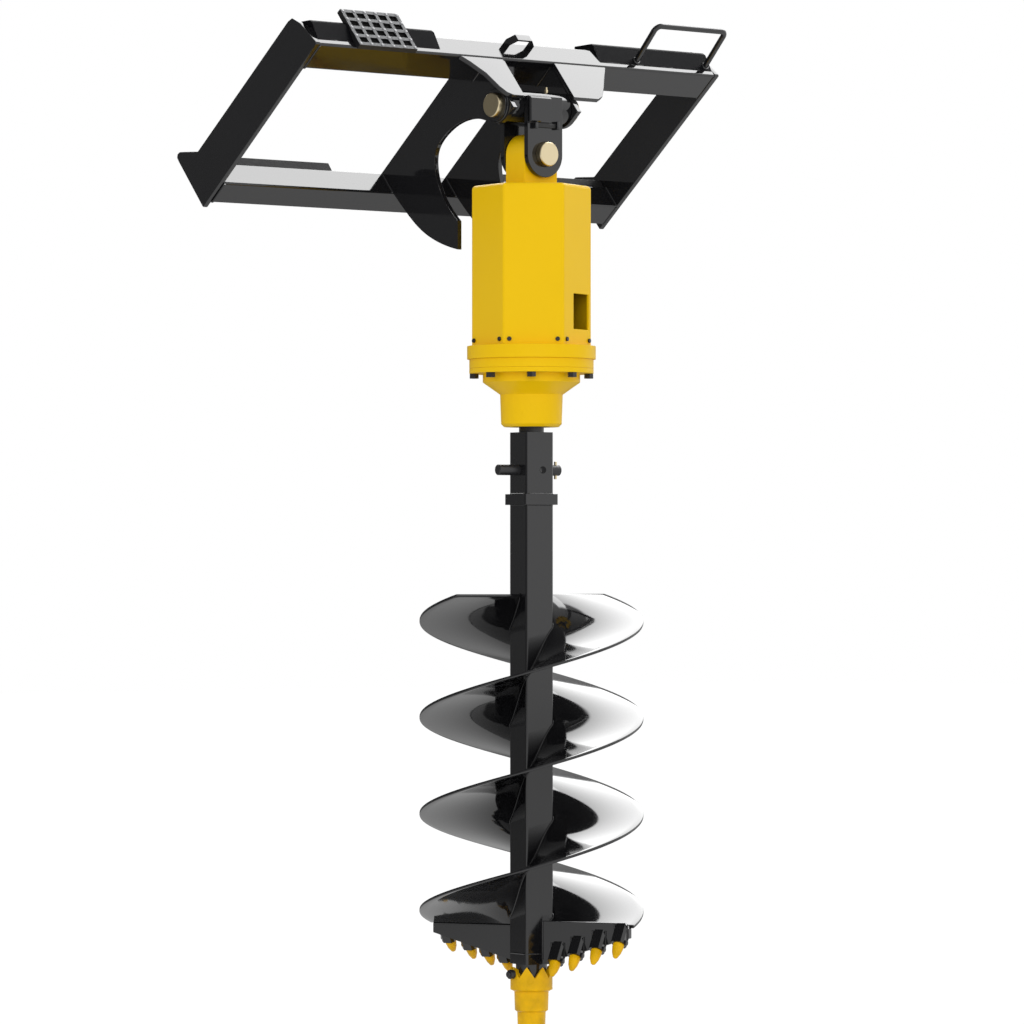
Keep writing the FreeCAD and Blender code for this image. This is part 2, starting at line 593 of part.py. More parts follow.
# Output shaft, hub socket, cross pin and collar
tube_joint = HUB_TOP - HUB_LENGTH
collar_top = tube_joint + COLLAR_HEIGHT / 2
collar_foot = tube_joint - COLLAR_HEIGHT / 2
shaft_foot = HUB_PIN_Z - 27
cross_hole = rod((-100, 0, HUB_PIN_Z), (100, 0, HUB_PIN_Z), HUB_PIN_R + PIN_FIT)
shaft = rod((0, 0, shaft_foot), (0, 0, carrier_top - 1), SHAFT_R).cut(cross_hole)
nodes["output_shaft"] = hang(turned(shaft, TUBE_TURN))
hub = square_bar_z(TUBE_SIDE, tube_joint, HUB_TOP, 5.0)
tube_inside = TUBE_SIDE - 2 * TUBE_WALL
hub = hub.fuse(square_bar_z(tube_inside - 2 * PIN_FIT, tube_joint - 40, tube_joint, 2.0))
hub = hub.cut(rod((0, 0, shaft_foot - 1), (0, 0, HUB_TOP + 1), SHAFT_R + PIN_FIT)).cut(cross_hole)
nodes["hub_socket"] = hang(turned(hub, TUBE_TURN))
cross = rod((-82, 0, HUB_PIN_Z), (67, 0, HUB_PIN_Z), HUB_PIN_R)
cross = cross.makeChamfer(1.5, cross.Edges)
cross = cross.cut(rod((58, 0, HUB_PIN_Z - 20), (58, 0, HUB_PIN_Z + 20), 3.0 + PIN_FIT))
nodes["hub_pin"] = hang(turned(cross, TUBE_TURN))
clip = rod((58, 0, HUB_PIN_Z - 18), (58, 0, HUB_PIN_Z + 18), 3.0)
nodes["hub_pin_clip"] = hang(turned(clip, TUBE_TURN))
collar = square_bar_z(COLLAR_SIDE, collar_foot, collar_top, 4.0)
collar = collar.cut(square_bar_z(TUBE_SIDE, collar_foot - 1, collar_top + 1, 5.0))
nodes["hub_collar"] = hang(turned(collar, TUBE_TURN))

# Square auger tube with two flights, one per start
auger_tube = square_bar_z(TUBE_SIDE, TUBE_FOOT, tube_joint, 5.0)
auger_tube = auger_tube.cut(square_bar_z(tube_inside, TUBE_FOOT - 1, tube_joint + 1, 2.0))
nodes["auger_tube"] = hang(turned(auger_tube, TUBE_TURN))


def flight(end_angle):
    turn = 360.0 * (FLIGHT_TOP - FLIGHT_FOOT) / FLIGHT_PITCH
    first = end_angle - TUBE_TURN
    step = 7.5
    grid = [step * k for k in range(math.ceil((first + 1) / step), math.floor((first + turn - 1) / step) + 1)]
    rows = []
    for a in [first] + grid + [first + turn]:
        angle = math.radians(a)
        r_in = TUBE_SIDE / 2 / max(abs(math.cos(angle)), abs(math.sin(angle)))
        z = FLIGHT_FOOT + FLIGHT_PITCH * (a - first) / 360
        c = math.cos(angle)
        s = math.sin(angle)
        rows.append([V(r * c, r * s, z + dz) for r in (r_in, FLIGHT_R) for dz in (0, FLIGHT_THICK)])
    faces = [rows[0], rows[-1]]
    panels = [[p[0], p[2], p[3], p[1]] for p in faces]
    for p, q in zip(rows, rows[1:]):
        for i, j in ((0, 2), (1, 3)):
            panels += [[p[i], p[j], q[j]], [p[i], q[j], q[i]]]
        for i, j in ((0, 1), (2, 3)):
            panels.append([p[i], p[j], q[j], q[i]])
    shell = Part.makeShell([Part.Face(Part.makePolygon(panel + panel[:1])) for panel in panels])
    solid = Part.makeSolid(shell)
    if solid.Volume < 0:
        solid.reverse()
    return hang(turned(solid, TUBE_TURN))


ends = {"a": FLIGHT_END_ANGLE + 180, "b": FLIGHT_END_ANGLE}
for name, angle in ends.items():
    nodes["flight_" + name] = flight(angle)

# Tooth bars at the flights' lower ends, with bullet teeth in raked holders
BAR_TOP = -1561.0
BAR_END = 224.0
BAR_LIFT = 34.0
TIP_REACH = 46.0
SHANK_SHARE = 0.55
SHANK_DEPTH = 10.0
TOOTH_PIN_R = 3.0
tooth_rows = {"a": (70, 110, 151, 198), "b": (66, 110, 158, 207)}
bullet = [(0, 0), (0.42, 0.10), (0.80, 0.42), (1, 0.80), (1, 1)]


def tip_height(r):
    return TIP_INNER_Z + TIP_RISE * (r - tooth_rows["b"][0])


def raked(shape, r, angle):
    """A piece drawn along a tooth's axis, its tip at the origin, set into its row."""
    moved = shape.copy()
    moved.rotate(V(0, 0, 0), V(1, 0, 0), -TOOTH_RAKE)
    moved.translate(V(r, -TIP_REACH, tip_height(r)))
    return turned(moved, angle)


shank_r = TOOTH_R * SHANK_SHARE
shank_top = TOOTH_LENGTH + SHANK_DEPTH
tooth_profile = [(TOOTH_R * x, TOOTH_LENGTH * z) for x, z in bullet]
tooth_profile += [(shank_r, TOOTH_LENGTH), (shank_r, shank_top), (0, shank_top)]
tooth_wire = Part.makePolygon([V(x, 0, z) for x, z in tooth_profile + tooth_profile[:1]])
pin_height = TOOTH_LENGTH + SHANK_DEPTH / 2
pin_half = HOLDER_SIDE / 2
cross_bore = rod((-30, 0, pin_height), (30, 0, pin_height), TOOTH_PIN_R + PIN_FIT)
tooth = Part.Face(tooth_wire).revolve(V(0, 0, 0), V(0, 0, 1), 360).cut(cross_bore)
holder = box(-pin_half, pin_half, -pin_half, pin_half, TOOTH_LENGTH, TOOTH_LENGTH + HOLDER_LENGTH)
holder = holder.makeChamfer(5.0, [e for e in holder.Edges if abs(e.Length - HOLDER_LENGTH) < 0.01])
holder = holder.cut(rod((0, 0, TOOTH_LENGTH - 1), (0, 0, shank_top + 1), shank_r + PIN_FIT)).cut(cross_bore)
tooth_bolt = rod((-pin_half, 0, pin_height), (pin_half, 0, pin_height), TOOTH_PIN_R)
tooth_bolt = tooth_bolt.fuse(rod((pin_half, 0, pin_height), (pin_half + 4, 0, pin_height), 5.5))
tube_core = turned(square_bar_z(TUBE_SIDE, TIP_INNER_Z - 65, BAR_TOP + 48, 0), TUBE_TURN)
holders = []
teeth = []
tooth_bolts = []
bars = []
for name, angle in ends.items():
    outline = [(20, BAR_TOP), (BAR_END - 12, BAR_TOP), (BAR_END, BAR_TOP - 12),
               (BAR_END, tip_height(BAR_END) + BAR_LIFT), (20, tip_height(20) + BAR_LIFT)]
    bar = turned(plate_xz(outline, -BAR_THICK, 0), angle).cut(tube_core)
    bars.append(hang(bar))
    back_end = BAR_END + HOLDER_SIDE
    back_outline = [(20, BAR_TOP + HOLDER_LENGTH), (back_end, BAR_TOP + HOLDER_LENGTH),
                    (back_end, tip_height(back_end) + BAR_LIFT), (20, tip_height(20) + BAR_LIFT)]
    behind = plate_xz(back_outline, -BAR_THICK, HOLDER_LENGTH)
    behind = turned(behind.fuse(box(0, back_end, 0, HOLDER_LENGTH, TIP_INNER_Z, BAR_TOP)), angle)
    for r in tooth_rows[name]:
        holders.append(hang(raked(holder, r, angle).cut(behind).cut(tube_core)))
        teeth.append(hang(raked(tooth, r, angle)))
        tooth_bolts.append(hang(raked(tooth_bolt, r, angle)))
nodes["tooth_bars"] = group(bars)
nodes["tooth_holders"] = group(holders)
nodes["digging_teeth"] = group(teeth)
nodes["tooth_bolts"] = group(tooth_bolts)

# Pilot socket in the tube's end, and the pilot bit with its crown of points round the socket
SHANK_R = 16.0
SOCKET_SQUARE_FOOT = -1650.0
SOCKET_R = 32.0
PILOT_TOP = -1680.0
CROWN_R = 43.0
CROWN_POINTS = 8
CROWN_RISE = 25.0
socket = square_bar_z(tube_inside - 2 * PIN_FIT, TUBE_FOOT, TUBE_FOOT + 60, 2.0)
socket = socket.fuse(square_bar_z(TUBE_SIDE, SOCKET_SQUARE_FOOT, TUBE_FOOT, 5.0))
socket = socket.fuse(rod((0, 0, PILOT_TOP), (0, 0, SOCKET_SQUARE_FOOT), SOCKET_R))
socket = socket.cut(rod((0, 0, PILOT_TOP - 1), (0, 0, TUBE_FOOT + 50), SHANK_R + PIN_FIT))
bolt_z = PILOT_TOP + 10
pilot_hole = rod((-60, 0, bolt_z), (60, 0, bolt_z), 6.0 + PIN_FIT)
nodes["pilot_socket"] = hang(turned(socket.cut(pilot_hole), TUBE_TURN))
crown_in = SOCKET_R + PIN_FIT
pilot_profile = [(0, TUBE_FOOT + 45), (SHANK_R, TUBE_FOOT + 45), (SHANK_R, PILOT_TOP), (crown_in, PILOT_TOP),
                 (crown_in, PILOT_TOP + CROWN_RISE), (CROWN_R, PILOT_TOP + CROWN_RISE),
                 (CROWN_R, PILOT_TOP - 22), (35, PILOT_TOP - 26), (34, PILOT_TOP - 64),
                 (29, PILOT_TOP - 68), (28, PILOT_TOP - 108), (0, PILOT_FOOT)]
pilot_wire = Part.makePolygon([V(r, 0, z) for r, z in pilot_profile + pilot_profile[:1]])
pilot = Part.Face(pilot_wire).revolve(V(0, 0, 0), V(0, 0, 1), 360)
valley_half = math.pi * CROWN_R / CROWN_POINTS
for k in range(CROWN_POINTS):
    rise = PILOT_TOP + CROWN_RISE + 1
    valley = Part.makePolygon([V(crown_in - 6, -valley_half, rise), V(crown_in - 6, valley_half, rise),
                               V(crown_in - 6, 0, PILOT_TOP + 2), V(crown_in - 6, -valley_half, rise)])
    notch = Part.Face(valley).extrude(V(30, 0, 0))
    pilot = pilot.cut(turned(notch, 360.0 * (k + 0.5) / CROWN_POINTS))
nodes["pilot_bit"] = hang(turned(pilot.cut(pilot_hole), TUBE_TURN))
pilot_bolt = rod((-58, 0, bolt_z), (50, 0, bolt_z), 6.0)
for x0, x1 in ((-54, -CROWN_R - 0.3), (CROWN_R + 0.3, 50)):
    pilot_bolt = pilot_bolt.fuse(rod((x0, 0, bolt_z), (x1, 0, bolt_z), 9.5))
nodes["pilot_bolt"] = hang(turned(pilot_bolt, TUBE_TURN))

for name, shape in nodes.items():
    if not shape.isValid():
        print("not valid:", name)
    shape.exportStep("parts/%s.step" % name)
print(len(nodes), "nodes")
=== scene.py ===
import bmesh
import bpy
import json
import math
from mathutils import Matrix, Vector

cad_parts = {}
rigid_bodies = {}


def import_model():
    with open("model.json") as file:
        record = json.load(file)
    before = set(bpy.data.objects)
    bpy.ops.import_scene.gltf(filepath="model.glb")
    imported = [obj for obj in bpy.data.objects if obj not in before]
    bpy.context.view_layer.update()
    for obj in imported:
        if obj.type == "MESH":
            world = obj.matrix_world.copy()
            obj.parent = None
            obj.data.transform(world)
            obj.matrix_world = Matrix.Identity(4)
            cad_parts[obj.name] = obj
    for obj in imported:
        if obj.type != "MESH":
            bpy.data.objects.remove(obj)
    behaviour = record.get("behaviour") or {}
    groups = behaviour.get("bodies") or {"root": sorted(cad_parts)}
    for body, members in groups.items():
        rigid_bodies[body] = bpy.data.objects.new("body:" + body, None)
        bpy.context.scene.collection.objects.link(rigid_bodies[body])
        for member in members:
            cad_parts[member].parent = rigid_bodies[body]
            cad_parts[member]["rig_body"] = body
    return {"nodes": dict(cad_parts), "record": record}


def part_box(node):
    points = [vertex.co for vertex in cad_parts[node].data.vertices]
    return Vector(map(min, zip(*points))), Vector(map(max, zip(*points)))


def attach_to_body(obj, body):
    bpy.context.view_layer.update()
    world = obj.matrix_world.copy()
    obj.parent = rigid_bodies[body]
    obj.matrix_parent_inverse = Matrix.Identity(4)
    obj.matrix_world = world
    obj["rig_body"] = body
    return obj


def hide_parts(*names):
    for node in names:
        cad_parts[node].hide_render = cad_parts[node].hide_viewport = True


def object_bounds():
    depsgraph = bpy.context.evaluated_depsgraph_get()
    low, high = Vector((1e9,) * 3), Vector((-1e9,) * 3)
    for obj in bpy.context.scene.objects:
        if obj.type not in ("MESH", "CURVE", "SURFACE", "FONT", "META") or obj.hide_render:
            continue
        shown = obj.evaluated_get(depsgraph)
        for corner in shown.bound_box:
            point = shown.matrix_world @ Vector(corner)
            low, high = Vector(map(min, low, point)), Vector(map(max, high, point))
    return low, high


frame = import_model()
cad_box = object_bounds()
nodes = frame["nodes"]

# Sizes in metres and radians. The drive and auger hang from the lower pin
MM = 0.001
LEAN = math.radians(50.0)
FRAME_Y = -48 * MM
FRAME_Z = -102 * MM
PIN_Y, PIN_Z = ((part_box("lower_pin")[0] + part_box("lower_pin")[1]) / 2).yz
FLAT_ANGLE = math.radians(0.6)
SAME_PLACE = 0.01 * MM
TUBE_TURN = math.radians(-8.7)
TUBE_SIDE = 66 * MM
FLIGHT_R = 228.6 * MM
FLIGHT_PITCH = 393.4 * MM
FLIGHT_THICK = 6 * MM
FLIGHT_TOP = -901.6 * MM
FLIGHT_FOOT = -1572.3 * MM
FLIGHT_ENDS = {"a": math.radians(114.0), "b": math.radians(-66.0)}
TOOTH_ROWS = {"a": (70, 110, 151, 198), "b": (66, 110, 158, 207)}

# Where the leaning frame and the lower pin stand
FRAME_PLACE = Matrix.Translation((0, FRAME_Y, FRAME_Z)) @ Matrix.Rotation(LEAN, 4, "X")
PIN_PLACE = Matrix.Translation((0, PIN_Y, PIN_Z))


# Meshes and objects
def new_object(name, mesh):
    obj = bpy.data.objects.new(name, mesh)
    bpy.context.scene.collection.objects.link(obj)
    return obj


def settle(obj):
    """Works the modifiers into a plain mesh."""
    graph = bpy.context.evaluated_depsgraph_get()
    obj.data = bpy.data.meshes.new_from_object(obj.evaluated_get(graph))
    obj.modifiers.clear()


def smooth_by_angle(mesh, degrees):
    """Smooth faces, with the edges sharper than the angle kept sharp."""
    shape = bmesh.new()
    shape.from_mesh(mesh)
    for face in shape.faces:
        face.smooth = True
    for edge in shape.edges:
        edge.smooth = edge.is_manifold and edge.calc_face_angle(0) < math.radians(degrees)
    shape.to_mesh(mesh)
    shape.free()


def merged_copy(node):
    """A copy of a CAD node's mesh with its triangles joined and its flat faces whole."""
    mesh = nodes[node].data.copy()
    shape = bmesh.new()
    shape.from_mesh(mesh)
    bmesh.ops.remove_doubles(shape, verts=shape.verts, dist=SAME_PLACE)
    bmesh.ops.dissolve_limit(shape, angle_limit=FLAT_ANGLE, verts=shape.verts, edges=shape.edges)
    shape.to_mesh(mesh)
    shape.free()
    mesh.materials.clear()
    return mesh


def attach(obj, body, material=None):
    """Puts a piece on its body, with a new finish where one is given."""
    if material:
        obj.data.materials.clear()
        obj.data.materials.append(material)
    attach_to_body(obj, body)


def dressed(node, body, material, width):
    """Stands for a CAD node, with its edges broken by that width as on the real piece."""
    mesh = merged_copy(node)
    piece = new_object(node + "_dressed", mesh)
    bevel = piece.modifiers.new("edges", "BEVEL")
    bevel.width = width
    bevel.segments = 2
    bevel.limit_method = "ANGLE"
    bevel.angle_limit = math.radians(38)
    bevel.miter_outer = "MITER_ARC"
    bevel.use_clamp_overlap = True
    settle(piece)
    smooth_by_angle(piece.data, 34)
    even = piece.modifiers.new("even", "WEIGHTED_NORMAL")
    even.keep_sharp = True
    even.weight = 80
    settle(piece)
    attach(piece, body, material)
    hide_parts(node)


# Node trees
def add(tree, kind, inputs=(), **settings):
    """A node with its settings, and its inputs set or linked by name or number."""
    made = tree.nodes.new(kind)
    for key, value in settings.items():
        setattr(made, key, value)
    for key, value in dict(inputs).items():
        if isinstance(value, bpy.types.NodeSocket):
            tree.links.new(value, made.inputs[key])
        else:
            made.inputs[key].default_value = value
    return made


def maths(tree, operation, a, b=0.0, clamp=False):
    return add(tree, "ShaderNodeMath", {0: a, 1: b}, operation=operation, use_clamp=clamp).outputs[0]


def remap(tree, value, low, high, to_low=0.0, to_high=1.0):
    inputs = {"Value": value, "From Min": low, "From Max": high, "To Min": to_low, "To Max": to_high}
    return add(tree, "ShaderNodeMapRange", inputs).outputs["Result"]


def noise(tree, where, scale, detail=3.0):
    inputs = {"Vector": where, "Scale": scale, "Detail": detail}
    return add(tree, "ShaderNodeTexNoise", inputs).outputs["Fac"]


def mix_colour(tree, share, a, b):
    made = tree.nodes.new("ShaderNodeMix")
    made.data_type = "RGBA"
    for key, value in (("Factor_Float", share), ("A_Color", a), ("B_Color", b)):
        socket = next(s for s in made.inputs if s.identifier == key)
        if isinstance(value, bpy.types.NodeSocket):
            tree.links.new(value, socket)
        else:
            socket.default_value = value
    return next(s for s in made.outputs if s.identifier == "Result_Color")


SOCKETS = {float: "NodeSocketFloat", int: "NodeSocketInt"}


def group(name, kind, inputs, outputs):
    """A node group, its inputs given by their first values or by their sockets' type."""
    tree = bpy.data.node_groups.new(name, kind)
    for label, value in inputs.items():
        socket_type = SOCKETS.get(type(value), value if isinstance(value, str) else None)
        socket = tree.interface.new_socket(label, in_out="INPUT", socket_type=socket_type)
        if type(value) in SOCKETS:
            socket.default_value = value
    for label, socket_type in outputs.items():
        tree.interface.new_socket(label, in_out="OUTPUT", socket_type=socket_type)
    return tree, tree.nodes.new("NodeGroupInput").outputs, tree.nodes.new("NodeGroupOutput").inputs


# Effects that several finishes share
def make_edge_wear():
    tree, given, result = group("edge_wear", "ShaderNodeTree",
                                {"Width": 0.002, "Scale": 40.0, "Share": 0.5}, {"Mask": "NodeSocketFloat"})
    rounded = add(tree, "ShaderNodeBevel", {"Radius": given["Width"]}, samples=4).outputs[0]
    flat = add(tree, "ShaderNodeNewGeometry").outputs["Normal"]
    same = add(tree, "ShaderNodeVectorMath", {0: rounded, 1: flat}, operation="DOT_PRODUCT").outputs["Value"]
    edge = remap(tree, same, 0.995, 0.90)
    where = add(tree, "ShaderNodeTexCoord").outputs["Object"]
    patches = noise(tree, where, given["Scale"], 6.0)
    low = maths(tree, "SUBTRACT", 1.0, given["Share"])
    worn = remap(tree, patches, low, maths(tree, "ADD", low, 0.12))
    tree.links.new(maths(tree, "MULTIPLY", edge, worn, clamp=True), result["Mask"])
    return tree


def make_dust():
    tree, given, result = group("dust", "ShaderNodeTree", {"Amount": 0.3, "Scale": 12.0},
                                {"Mask": "NodeSocketFloat"})
    normal = add(tree, "ShaderNodeNewGeometry").outputs["Normal"]
    upward = add(tree, "ShaderNodeSeparateXYZ", {0: normal}).outputs["Z"]
    lying = remap(tree, upward, 0.0, 0.9, 0.25, 1.0)
    where = add(tree, "ShaderNodeTexCoord").outputs["Object"]
    clouds = remap(tree, noise(tree, where, given["Scale"], 5.0), 0.38, 0.72)
    mask = maths(tree, "MULTIPLY", maths(tree, "MULTIPLY", lying, clouds), given["Amount"], clamp=True)
    tree.links.new(mask, result["Mask"])
    return tree


def make_grain():
    tree, given, result = group("grain", "ShaderNodeTree", {"Scale": 300.0, "Depth": 0.2, "Tone": 0.1,
                                                            "Patch scale": 9.0},
                                {"Normal": "NodeSocketVector", "Tone": "NodeSocketFloat"})
    where = add(tree, "ShaderNodeTexCoord").outputs["Object"]
    fine = noise(tree, where, given["Scale"], 3.0)
    bump = add(tree, "ShaderNodeBump", {"Strength": given["Depth"], "Distance": 0.0004, "Height": fine})
    broad = noise(tree, where, given["Patch scale"], 4.0)
    tone = maths(tree, "MULTIPLY", maths(tree, "SUBTRACT", broad, 0.5), given["Tone"])
    tree.links.new(bump.outputs["Normal"], result["Normal"])
    tree.links.new(tone, result["Tone"])
    return tree


EDGE_WEAR = make_edge_wear()
DUST = make_dust()
GRAIN = make_grain()


def use(tree, effect, inputs):
    """A shared effect in a finish, with its inputs set; gives its outputs."""
    made = add(tree, "ShaderNodeGroup", node_tree=effect)
    for key, value in inputs.items():
        made.inputs[key].default_value = value
    return made.outputs


def finish_of(name, colour, roughness, metal=0.0, specular=0.5, grain=(300.0, 0.2), tone=0.1, patches=9.0,
              dust=0.2, dust_colour=(0.30, 0.27, 0.23), wear=0.0, bare_and_lit=(0.35, 0.35, 0.36)):
    """A painted, plated or unpainted metal finish with grain, dust and worn edges."""
    material = bpy.data.materials.new(name)
    material.use_nodes = True
    tree = material.node_tree
    shader = next(n for n in tree.nodes if n.type == "BSDF_PRINCIPLED")
    surface = use(tree, GRAIN, {"Scale": grain[0], "Depth": grain[1], "Tone": tone, "Patch scale": patches})
    dusty = use(tree, DUST, {"Amount": dust, "Scale": 11.0})["Mask"]
    value = maths(tree, "ADD", surface["Tone"], 1.0)
    base = add(tree, "ShaderNodeHueSaturation", {"Value": value, "Color": (*colour, 1)}).outputs[0]
    base = mix_colour(tree, dusty, base, (*dust_colour, 1))
    rough = maths(tree, "ADD", maths(tree, "MULTIPLY", surface["Tone"], 0.8), roughness)
    rough = maths(tree, "ADD", rough, maths(tree, "MULTIPLY", dusty, 0.45), clamp=True)
    if wear > 0:
        worn = use(tree, EDGE_WEAR, {"Width": 0.0022, "Scale": 45.0, "Share": wear})["Mask"]
        base = mix_colour(tree, worn, base, (*bare_and_lit, 1))
        if metal == 0:
            tree.links.new(maths(tree, "MULTIPLY", worn, 0.7), shader.inputs["Metallic"])
    if metal:
        shader.inputs["Metallic"].default_value = metal
    shader.inputs["Specular IOR Level"].default_value = specular
    tree.links.new(base, shader.inputs["Base Color"])
    tree.links.new(rough, shader.inputs["Roughness"])
    tree.links.new(surface["Normal"], shader.inputs["Normal"])
    return material


FINISHES = {
    "black_paint": finish_of("black_paint", (0.008, 0.008, 0.009), 0.07, specular=0.62, grain=(420.0, 0.014),
                             dust=0.03, dust_colour=(0.11, 0.105, 0.10), wear=0.30, bare_and_lit=(0.10, 0.10, 0.10)),
    "yellow_paint": finish_of("yellow_paint", (0.96, 0.60, 0.003), 0.36, specular=0.14, grain=(380.0, 0.16),
                              tone=0.05, dust=0.04, dust_colour=(0.55, 0.42, 0.10), wear=0.28,
                              bare_and_lit=(0.80, 0.56, 0.08)),
    "cast_yellow": finish_of("cast_yellow", (0.90, 0.51, 0.003), 0.34, specular=0.2, grain=(110.0, 0.5),
                             tone=0.8, patches=36.0, dust=0.06, dust_colour=(0.40, 0.20, 0.02), wear=0.45,
                             bare_and_lit=(0.80, 0.52, 0.07)),
    "matt_black": finish_of("matt_black", (0.012, 0.012, 0.013), 0.6, specular=0.16, grain=(500.0, 0.3),
                            dust=0.05, dust_colour=(0.12, 0.11, 0.10), wear=0.45, bare_and_lit=(0.22, 0.22, 0.22)),
    "tread": finish_of("tread", (0.012, 0.012, 0.013), 0.45, specular=0.3, grain=(500.0, 0.3), dust=0.05,
                       dust_colour=(0.12, 0.11, 0.10), wear=0.45, bare_and_lit=(0.22, 0.22, 0.22)),
    # A black darker than any paint, for the sheet that paints the shade in the step's holes
    "painted_shade_black": finish_of("painted_shade_black", (0.004, 0.004, 0.004), 0.8, specular=0.05, dust=0.0),
    # A black darker than the frame's paint, for the hook lips: painted shade
    "lip_painted_shade": finish_of("lip_painted_shade", (0.004, 0.004, 0.005), 0.55, specular=0.04, grain=(500.0, 0.3),
                           dust=0.0, wear=0.45, bare_and_lit=(0.12, 0.12, 0.12)),
    # The studs' light grey metal is a painted highlight
    "painted_highlight": finish_of("painted_highlight", (0.27, 0.27, 0.28), 0.35, metal=0.3, grain=(500.0, 0.3), tone=0.4,
                        dust=0.0),
    "zinc_plate": finish_of("zinc_plate", (0.66, 0.56, 0.36), 0.30, metal=1.0, grain=(700.0, 0.25),
                            dust=0.08),
    "bronze": finish_of("bronze", (0.53, 0.33, 0.13), 0.34, metal=1.0, grain=(900.0, 0.2), dust=0.1),
    "steel": finish_of("steel", (0.50, 0.50, 0.51), 0.27, metal=1.0, grain=(900.0, 0.25), dust=0.05),
    "black_oxide": finish_of("black_oxide", (0.018, 0.018, 0.020), 0.34, grain=(800.0, 0.2), dust=0.06,
                             dust_colour=(0.12, 0.11, 0.10), wear=0.35, bare_and_lit=(0.16, 0.16, 0.165)),
    "cast_iron": finish_of("cast_iron", (0.05, 0.05, 0.052), 0.5, metal=0.4, grain=(260.0, 0.9), dust=0.15),
    "rubber": finish_of("rubber", (0.012, 0.012, 0.012), 0.6, grain=(500.0, 0.4), dust=0.12),
}


def paint_highlight_on_faces(material, way, bare_and_lit):
    """Paints a lighter colour on the faces that look one way: a painted highlight where light falls on them.
    """
    tree = material.node_tree
    shader = next(n for n in tree.nodes if n.type == "BSDF_PRINCIPLED")
    base = shader.inputs["Base Color"].links[0].from_socket
    normal = add(tree, "ShaderNodeNewGeometry").outputs["Normal"]
    facing = add(tree, "ShaderNodeVectorMath", {0: normal, 1: way}, operation="DOT_PRODUCT").outputs["Value"]
    painted_highlight = remap(tree, facing, 0.85, 0.97)
    tree.links.new(mix_colour(tree, painted_highlight, base, (*bare_and_lit, 1)), shader.inputs["Base Color"])


# The step's faces that look up along the leaning frame get a painted highlight: a lighter grey than its
# black sides
paint_highlight_on_faces(FINISHES["tread"], FRAME_PLACE.to_3x3() @ Vector((0, 0, 1)), (0.085, 0.088, 0.093))


# Every CAD node gets its slot's finish; the pieces below then stand for the visible ones
record = frame["record"]
node_slot = {part["node"]: part["material_slot"] for part in record["subparts"]}
node_body = {name: obj["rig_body"] for name, obj in nodes.items()}
for name, obj in nodes.items():
    obj.data.materials.clear()
    obj.data.materials.append(FINISHES[node_slot[name]])

# Width of the broken edges of each visible piece, millimetres
EDGE_WIDTHS = {
    "side_plate_left": 1.6, "side_plate_right": 1.6, "upper_bar": 0.8, "lower_bar": 0.8, "hook_lips": 1.5,
    "pin_flange_left": 1.5, "pin_flange_right": 1.5, "cradle_plate_left": 1.3, "cradle_plate_right": 1.3,
    "top_gussets": 1.8, "pin_boss_rings": 1.2, "upper_pin": 0.8, "upper_pin_keeper": 1.0,
    "step_grating": 0.7, "grab_handle": 0.5, "hose_guide": 0.8, "grease_fitting": 0.4, "knuckle_bushes": 0.7,
    "knuckle_tube": 1.2, "clevis_plate_front": 1.6, "clevis_plate_rear": 1.6,
    "stop_block": 0.8, "lower_pin": 0.8, "lower_pin_keeper": 1.0, "drive_ear": 2.0, "hood": 1.2,
    "hood_screws": 0.9, "base_flange": 1.8, "ring_gear": 1.2, "nose_housing": 1.6, "flange_bolts": 0.9,
    "port_fittings": 0.8, "motor_valve_block": 1.0, "motor_body": 0.8, "motor_flange": 1.4,
    "motor_bolts": 0.8, "ear_bush": 0.7, "output_shaft": 1.0, "shaft_seal": 0.5, "hub_pin_clip": 0.6,
    "hub_socket": 1.2, "hub_pin": 0.8, "hub_collar": 1.4, "auger_tube": 0.8, "tooth_bars": 1.4,
    "tooth_holders": 1.8, "digging_teeth": 2.0, "tooth_bolts": 0.9, "pilot_socket": 1.2, "pilot_bit": 1.0,
    "pilot_bolt": 0.9}
# The nodes whose finish isn't their slot's own; the hook lips' darker black is painted shade
OTHER_FINISHES = {
    "step_grating": "tread", "pin_flange_left": "matt_black", "pin_flange_right": "matt_black",
    "hook_lips": "lip_painted_shade", "pilot_bit": "cast_yellow", "digging_teeth": "cast_yellow"}
for name, width in EDGE_WIDTHS.items():
    slot = node_slot[name]
    dressed(name, node_body[name], FINISHES[OTHER_FINISHES.get(name, slot)], width * MM)


